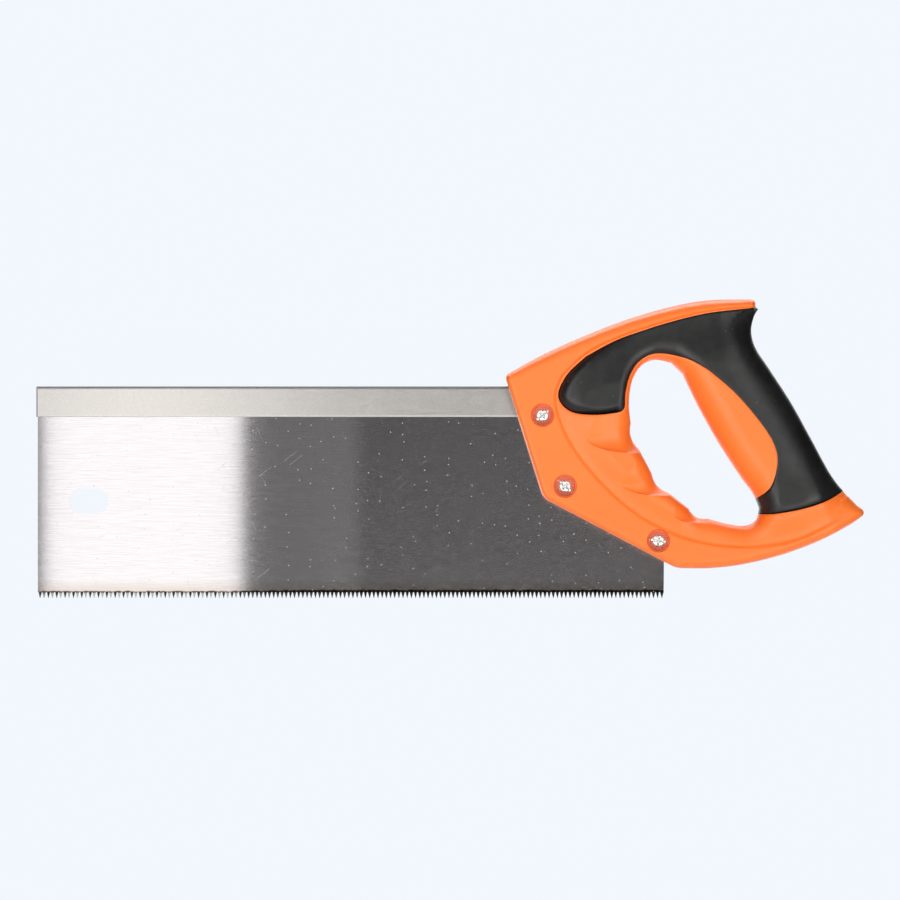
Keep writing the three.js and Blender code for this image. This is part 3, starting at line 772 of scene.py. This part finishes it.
class Nodes:
    """A short way to write the nodes of a material or a world. Sizes are in millimetres, but sockets that carry
    a place or a distance are in metres."""

    def __init__(self, owner):
        self.owner = owner
        owner.use_nodes = True
        self.tree = owner.node_tree
        self.shader = self.tree.nodes.get("Principled BSDF")
        self.place = self.add("ShaderNodeTexCoord").outputs["Object"]

    def add(self, kind, inputs=None, **settings):
        node = self.tree.nodes.new(kind)
        for key, value in settings.items():
            setattr(node, key, value)
        for key, value in (inputs or {}).items():
            self.feed(node.inputs[key], value)
        return node

    def feed(self, socket, value):
        """Links a socket to another, or sets its value."""
        if isinstance(value, bpy.types.NodeSocket):
            self.tree.links.new(value, socket)
        else:
            socket.default_value = value

    def set(self, **inputs):
        for key, value in inputs.items():
            self.feed(self.shader.inputs[key.replace("_", " ")], value)

    def math(self, operation, a, b=0.0, c=0.0):
        return self.add("ShaderNodeMath", {0: a, 1: b, 2: c}, operation=operation).outputs[0]

    def times(self, a, b):
        return self.math("MULTIPLY", a, b)

    def vector(self, operation, a, b):
        return self.add("ShaderNodeVectorMath", {0: a, 1: b}, operation=operation)

    def axes(self, vector):
        return self.add("ShaderNodeSeparateXYZ", {0: vector}).outputs

    def mapped(self, vector, **change):
        """A place that is turned or scaled."""
        return self.add("ShaderNodeMapping", {"Vector": vector, **change}).outputs[0]

    def mix(self, share, a, b):
        """A colour some share of the way from one to another."""
        node = self.add("ShaderNodeMix", data_type="RGBA")
        for index, value in ((0, share), (6, a), (7, b)):
            self.feed(node.inputs[index], value)
        return node.outputs[2]

    def over(self, colour, mask, strength, other):
        """A colour with another laid over it where a mask is 1, as strongly as asked."""
        return self.mix(self.times(mask, strength), colour, other)

    def ramp(self, value, low, high, out_low=0.0, out_high=1.0):
        """Eases from one output at the low value to another at the high value, which may be the smaller."""
        inputs = {0: value, 1: low, 2: high, 3: out_low, 4: out_high}
        return self.add("ShaderNodeMapRange", inputs, interpolation_type="SMOOTHSTEP").outputs[0]

    def steps(self, value, stops):
        """A value that eases through (place, height) stops, from place 0 to place 1."""
        node = self.add("ShaderNodeValToRGB", {0: value})
        node.color_ramp.interpolation = "EASE"
        elements = node.color_ramp.elements
        for place, height in stops[1:-1]:
            elements.new(place).color = rgb(height, height, height)
        for element, (_, height) in ((elements[0], stops[0]), (elements[-1], stops[-1])):
            element.color = rgb(height, height, height)
        return node.outputs[0]

    def noise(self, size, detail, stretch=(1, 1, 1), rough=0.5):
        """Noise whose features are about that size, and longer along an axis whose stretch is over 1."""
        place = self.mapped(self.place, Scale=tuple(1 / (size * MM * s) for s in stretch))
        inputs = {"Vector": place, "Scale": 1.0, "Detail": detail, "Roughness": rough}
        return self.add("ShaderNodeTexNoise", inputs).outputs[0]

    def picked(self, cell, share):
        """1 in that share of the cells of a pattern, picked at random."""
        chance = self.add("ShaderNodeSeparateColor", {0: cell.outputs["Color"]}).outputs[0]
        return self.math("GREATER_THAN", chance, 1 - share)

    def specks(self, size, spacing, flat=False):
        """1 in small scattered dots. Flat ones lie in the blade's plane and go right through."""
        turned = self.mapped(self.place, Rotation=(math.radians(90), 0, 0))
        inputs = {"Vector": turned, "Scale": 1 / (spacing * MM)}
        cell = self.add("ShaderNodeTexVoronoi", inputs, voronoi_dimensions="2D" if flat else "3D")
        near = self.ramp(cell.outputs["Distance"], size / spacing, size / spacing * 0.55)
        return self.times(self.picked(cell, 0.28), near)

    def distance(self, x, z):
        """How far off a line across the saw at a point in the blade's plane."""
        flat = self.vector("MULTIPLY", self.place, (1, 0, 1)).outputs[0]
        return self.vector("DISTANCE", flat, ((x + HEEL) * MM, 0, z * MM)).outputs["Value"]

    def scratches(self, spacing, turn, width, length):
        """Fine lines at a slant, broken into short runs."""
        turned = self.mapped(self.place, Rotation=(0, math.radians(turn), 0))
        scaled = self.mapped(turned, Scale=(1 / (length * MM), 1, 1 / (spacing * MM)))
        inputs = {"Vector": scaled, "Scale": 1.0}
        cell = self.add("ShaderNodeTexVoronoi", inputs, feature="F1", distance="CHEBYCHEV")
        along, _, across = self.axes(self.vector("SUBTRACT", scaled, cell.outputs["Position"]).outputs[0])
        thin = self.ramp(self.math("ABSOLUTE", across), width / spacing, 0.0)
        end = self.ramp(self.math("ABSOLUTE", along), 0.32, 0.2)
        return self.times(self.times(thin, end), self.picked(cell, 0.2))

    def bump(self, *layers):
        """Stacks (height, strength, depth) layers of relief."""
        normal = None
        for height, strength, depth in layers:
            inputs = {"Height": height, "Strength": strength, "Distance": depth * MM}
            if normal is not None:
                inputs["Normal"] = normal
            normal = self.add("ShaderNodeBump", inputs).outputs[0]
        self.set(Normal=normal)


def rgb(red, green, blue):
    return (red, green, blue, 1.0)


# Round each screw: where the counterbore's wall, painted paler as painted light, ends, and where the ring of
# painted shade outside it fades out.
LIT_WALL_TONE = (5.13, 5.18)
SHADE_RING_TONE = (5.45, 5.75)


def orange_plastic():
    """Semi-gloss moulded plastic with a fine grain, slow colour drift, dust and small scuffs, with painted
    light on each counterbore's wall and a ring of painted shade round it.
    """
    n = Nodes(bpy.data.materials.new("orange_plastic"))
    scuff = n.scratches(spacing=6, turn=24, width=0.06, length=12)
    dust = n.specks(size=0.16, spacing=3.2)
    away = 1.0
    for screw in SCREWS.values():
        away = n.math("MINIMUM", away, n.distance(screw["x"], screw["z"]))
    # Painted light on each counterbore's wall, and a ring of painted shade just outside it.
    lit_wall_in, lit_wall_out = (edge * MM for edge in LIT_WALL_TONE)
    shade_ring_in, shade_ring_out = (edge * MM for edge in SHADE_RING_TONE)
    ring = n.times(n.ramp(away, lit_wall_in, lit_wall_out), n.ramp(away, shade_ring_out, shade_ring_in))
    colour = n.mix(n.noise(30, 2), rgb(1.0, 0.18, 0.02), rgb(1.0, 0.21, 0.03))
    # Painted light: the counterbore's wall is coloured a paler orange.
    colour = n.mix(n.ramp(away, lit_wall_out, lit_wall_in), colour, rgb(1.0, 0.26, 0.13))
    # Painted shade: a dark red-brown ring round each counterbore.
    colour = n.over(colour, ring, 0.7, rgb(0.45, 0.03, 0.005))
    colour = n.over(colour, scuff, 0.3, rgb(1.0, 0.5, 0.25))
    colour = n.over(colour, dust, 0.5, rgb(0.45, 0.08, 0.01))
    n.set(Base_Color=colour, Roughness=n.ramp(n.noise(1.2, 3), 0.3, 0.7, 0.36, 0.5))
    # The ring of painted shade also reflects less, so it stays dark.
    n.set(Specular_IOR_Level=n.math("MULTIPLY_ADD", ring, -0.4, 0.45))
    n.bump((n.noise(0.35, 2), 0.25, 0.06), (n.noise(12, 2), 0.2, 0.4), (scuff, 0.3, -0.04))
    return n.owner


def black_rubber():
    """Satin soft grip with a faint bloom, dust caught in it and a few rubbed patches."""
    n = Nodes(bpy.data.materials.new("black_rubber"))
    bloom = n.ramp(n.noise(16, 4), 0.35, 0.75)
    dust = n.specks(size=0.22, spacing=3)
    rub = n.scratches(spacing=5, turn=60, width=0.05, length=9)
    colour = n.mix(bloom, rgb(0.006, 0.006, 0.0063), rgb(0.0105, 0.0103, 0.0104))
    colour = n.over(colour, rub, 0.35, rgb(0.1, 0.1, 0.1))
    colour = n.over(colour, dust, 0.6, rgb(0.32, 0.31, 0.3))
    n.set(Base_Color=colour, Roughness=n.ramp(n.noise(4, 3), 0.3, 0.7, 0.36, 0.44), Specular_IOR_Level=0.45)
    n.bump((n.noise(0.22, 2), 0.35, 0.05), (n.noise(6, 2), 0.25, 0.2))
    return n.owner


def tooth_tones(n, steel):
    """Steel with a brown tint and a burnt dark band along the toothed edge, and every other tooth painted
    lighter as a painted reflection of its set. The band is thinner towards the toe."""
    along, _, height = n.axes(n.place)
    wander = n.times(n.noise(4, 3), 1.6 * MM)
    thinner = n.ramp(along, (HEEL - 215) * MM, (HEEL - 170) * MM, 0.6 * MM, 0.0)
    burnt = n.ramp(n.math("ADD", height, n.math("ADD", wander, thinner)), 5.2 * MM, 4.3 * MM)
    tint = n.ramp(n.math("ADD", height, wander), 10.5 * MM, 5.0 * MM)
    teeth = n.math("MULTIPLY_ADD", along, 1 / (TOOTH_PITCH * MM), (TOOTH_LINE - HEEL) / TOOTH_PITCH)
    odd = n.math("MODULO", n.math("FLOOR", teeth), 2.0)
    steel = n.over(steel, tint, 0.35, rgb(0.5, 0.37, 0.26))
    steel = n.mix(burnt, steel, rgb(0.022, 0.019, 0.017))
    # Painted reflection: every other tooth is coloured a lighter grey, as if its set face caught the light.
    bright = n.times(odd, n.ramp(height, TOOTH_DEPTH * MM, 2.4 * MM))
    return n.mix(bright, steel, rgb(0.34, 0.33, 0.32))


def blade_steel():
    """Steel brushed along the saw, with a hardened dark band at the teeth and fine stray scratches."""
    n = Nodes(bpy.data.materials.new("blade_steel"))
    grain = n.noise(0.2, 3, stretch=(60, 1, 1), rough=0.6)
    fine = n.noise(0.11, 2, stretch=(40, 1, 1), rough=0.6)
    scratch = n.scratches(spacing=9, turn=38, width=0.05, length=16)
    cross = n.scratches(spacing=12, turn=-64, width=0.04, length=10)
    dirt = n.specks(size=0.25, spacing=12, flat=True)
    dust = n.specks(size=0.3, spacing=5.5, flat=True)
    steel = n.mix(n.ramp(grain, 0.3, 0.7), rgb(0.65, 0.64, 0.67), rgb(0.75, 0.737, 0.77))
    steel = tooth_tones(n, steel)
    steel = n.over(steel, dirt, 0.7, rgb(0.12, 0.11, 0.11))
    marks = n.times(n.math("MAXIMUM", scratch, cross), 0.35)
    marks = n.math("MAXIMUM", marks, n.times(dust, 0.8))
    steel = n.mix(marks, steel, rgb(0.6, 0.59, 0.58))
    n.set(Base_Color=steel, Metallic=n.math("SUBTRACT", 1.0, marks))
    n.set(Roughness=n.ramp(fine, 0.3, 0.7, 0.1, 0.17))
    n.set(Anisotropic=1.0, Tangent=n.add("ShaderNodeCombineXYZ", {2: 1.0}).outputs[0])
    n.bump((grain, 0.07, 0.02), (fine, 0.1, 0.01), (scratch, 0.2, -0.02), (cross, 0.15, -0.02))
    return n.owner


def spine_steel():
    """Satin strip steel with rolled-in specks, a row of pits, and painted shade as a dark line along the fold
    and across the front end.
    """
    n = Nodes(bpy.data.materials.new("spine_steel"))
    along, _, height = n.axes(n.place)
    grain = n.noise(0.5, 3, stretch=(3, 1, 1), rough=0.6)
    mottle = n.noise(0.7, 4)
    specks = n.specks(size=0.18, spacing=4, flat=True)
    # Painted shade along the top of the fold and across the front end: dark and not metallic there.
    fold = n.ramp(height, (SPINE_TOP - 1.0) * MM, (SPINE_TOP - 0.5) * MM)
    end = n.ramp(along, (HEEL + SPINE_FRONT + 0.7) * MM, (HEEL + SPINE_FRONT + 0.4) * MM)
    painted_shade = n.times(n.math("MAXIMUM", fold, end), 0.9)
    off_row = n.math("ABSOLUTE", n.math("SUBTRACT", height, (SPINE_TOP - 4.0) * MM))
    row = n.ramp(off_row, 0.4 * MM, 0.2 * MM)
    pits = n.times(n.specks(size=0.2, spacing=1.6, flat=True), row)
    steel = n.mix(mottle, rgb(0.45, 0.437, 0.426), rgb(0.6, 0.586, 0.568))
    steel = n.over(steel, specks, 0.5, rgb(0.25, 0.24, 0.23))
    steel = n.over(steel, pits, 0.6, rgb(0.2, 0.2, 0.2))
    # Mixes in the painted shade along the fold and the front end.
    steel = n.mix(painted_shade, steel, rgb(0.13, 0.135, 0.14))
    n.set(Base_Color=steel, Metallic=n.math("SUBTRACT", 1.0, painted_shade), Specular_IOR_Level=0.1)
    n.set(Roughness=n.ramp(grain, 0.3, 0.7, 0.28, 0.33))
    n.bump((grain, 0.15, 0.04), (mottle, 0.15, 0.03))
    return n.owner


def nickel_plate():
    """Bright plating, scuffed a little by the screwdriver."""
    n = Nodes(bpy.data.materials.new("nickel_plate"))
    scuff = n.noise(0.5, 4, rough=0.65)
    colour = n.mix(scuff, rgb(0.78, 0.76, 0.74), rgb(0.93, 0.91, 0.89))
    n.set(Base_Color=colour, Metallic=1.0, Roughness=n.ramp(scuff, 0.35, 0.7, 0.22, 0.36))
    n.bump((scuff, 0.5, 0.1))
    return n.owner


# ---- floor, light and camera, in metres ----

CAMERA_DISTANCE = 3.0
VIEW_WIDTH = 0.4313
VIEW_CENTRE = ((-102.5 + HEEL) * MM, 0.071)
SENSOR = 36.0
FLOOR = {"radius": 0.85, "height": -0.21, "fades_from": 0.35, "gone": 0.8}

# How bright the room is: in front and behind by the share of a half turn away from the camera's side, and
# in front by height as well.
FRONT_PANELS = [(0, 0.022), (0.04, 0.022), (0.1, 1), (0.2, 1), (0.29, 0.02), (1, 0.02)]
FRONT_HEIGHTS = [(0, 0.03), (0.2, 0.06), (0.34, 1), (0.5, 0.95), (0.68, 0.35), (0.9, 0.1), (1, 0.1)]
BACKDROP = [(0, 0), (0.78, 0), (0.88, 0.55), (0.95, 0.55), (0.985, 0.11), (1, 0.11)]
ROOM_STRENGTH = 4.0
ROOM_TINT = (1.0, 0.985, 0.97)
BACKGROUND = (0.887, 0.93, 0.982)

# Two panels near the blade: the stretch of the blade that mirrors each, in millimetres, and how bright it is.
PANEL_AWAY = 0.45
PANEL_HEIGHT = 0.8
PANEL_TINT = (1.0, 0.975, 0.94)
GLEAM = (-298.0, -202.5, 1.35)
GLIMMER = (-203.0, -147.0, 0.095)

# Two lamps: place, target, size, radiance and tint.
TOP_LAMP = ((0.05, 0.45, 0.9), (0.05, 0, 0.08), (0.9, 0.5), 4.5, (1.0, 0.97, 0.98))
LOW_LAMP = ((0.3, -1.0, -0.5), (0.1, 0, 0.06), (0.8, 0.4), 3.5, (1.0, 0.96, 0.88))


def add_floor():
    """A pale floor below the saw that fades out into the pale surroundings."""
    radius, height = FLOOR["radius"], FLOOR["height"]
    ring = [(radius * math.cos(a), radius * math.sin(a), height) for a in np.radians(range(0, 360, 5))]
    mesh = bpy.data.meshes.new("floor")
    mesh.from_pydata(ring, [], [tuple(range(len(ring)))])
    n = Nodes(bpy.data.materials.new("pale_floor"))
    away = n.add("ShaderNodeVectorMath", {0: n.place}, operation="LENGTH").outputs["Value"]
    fade = n.ramp(away, FLOOR["fades_from"], FLOOR["gone"])
    tone = n.mix(n.noise(20, 3), rgb(0.83, 0.86, 0.9), rgb(0.86, 0.89, 0.93))
    n.set(Base_Color=tone, Roughness=0.9, Specular_IOR_Level=0.1)
    clear = n.add("ShaderNodeBsdfTransparent").outputs[0]
    both = n.add("ShaderNodeMixShader", {0: fade, 1: n.shader.outputs[0], 2: clear}).outputs[0]
    n.feed(n.tree.nodes["Material Output"].inputs["Surface"], both)
    mesh.materials.append(n.owner)
    add_object("floor", mesh)


def add_surroundings():
    """A room with bright panels in front to the left and right, dark sides and a pale backdrop."""
    world = bpy.data.worlds.new("studio")
    bpy.context.scene.world = world
    n = Nodes(world)
    right, back, up = n.axes(n.add("ShaderNodeTexCoord").outputs["Generated"])
    turn = n.math("ABSOLUTE", n.math("ARCTAN2", right, n.times(back, -1.0)))
    around = n.math("DIVIDE", turn, math.pi)
    height = n.steps(n.math("MULTIPLY_ADD", up, 0.5, 0.5), FRONT_HEIGHTS)
    front = n.times(n.steps(around, FRONT_PANELS), height)
    strength = n.times(n.math("ADD", front, n.steps(around, BACKDROP)), ROOM_STRENGTH)
    room = n.add("ShaderNodeBackground", {0: rgb(*ROOM_TINT), 1: strength})
    seen = n.add("ShaderNodeBackground", {0: rgb(*BACKGROUND)})
    ray = n.add("ShaderNodeLightPath").outputs["Is Camera Ray"]
    both = n.add("ShaderNodeMixShader", {0: ray, 1: room.outputs[0], 2: seen.outputs[0]})
    n.feed(n.tree.nodes["World Output"].inputs[0], both.outputs[0])


def add_lamp(name, place, target, size, radiance, tint):
    """A rectangular lamp, hidden from the camera, that shines towards a target."""
    lamp = bpy.data.lights.new(name, "AREA")
    lamp.shape = "RECTANGLE"
    lamp.size, lamp.size_y = size
    lamp.energy = radiance * math.pi * size[0] * size[1]
    lamp.color = tint
    made = add_object(name, lamp)
    made.location = place
    made.rotation_euler = (Vector(target) - Vector(place)).to_track_quat("-Z", "Y").to_euler()
    made.visible_camera = False


def add_panel(name, start, end, radiance):
    """A panel whose mirror image covers a stretch of the blade, seen from the camera."""
    axis = VIEW_CENTRE[0]
    spread = 1 + PANEL_AWAY / CAMERA_DISTANCE
    low, high = (axis + ((x + HEEL) * MM - axis) * spread for x in (start, end))
    middle = ((low + high) / 2, -PANEL_AWAY, VIEW_CENTRE[1])
    add_lamp(name, middle, (middle[0], 0, middle[2]), (high - low, PANEL_HEIGHT), radiance, PANEL_TINT)


def add_lights():
    add_panel("gleam", *GLEAM)
    add_panel("glimmer", *GLIMMER)
    add_lamp("top_lamp", *TOP_LAMP)
    add_lamp("low_lamp", *LOW_LAMP)


def add_camera():
    """A long lens, square on to the side of the saw."""
    camera = bpy.data.cameras.new("camera")
    camera.sensor_width = SENSOR
    camera.lens = SENSOR * CAMERA_DISTANCE / VIEW_WIDTH
    camera.clip_end = 50
    made = add_object("camera", camera)
    made.location = (VIEW_CENTRE[0], -CAMERA_DISTANCE, VIEW_CENTRE[1])
    made.rotation_euler = (math.radians(90), 0, 0)
    bpy.context.scene.camera = made


build_handle(orange_plastic(), black_rubber())
build_blade(blade_steel())
build_spine(spine_steel())
build_fasteners(nickel_plate())
add_floor()
add_surroundings()
add_lights()
add_camera()
bpy.context.scene.view_settings.view_transform = "Standard"
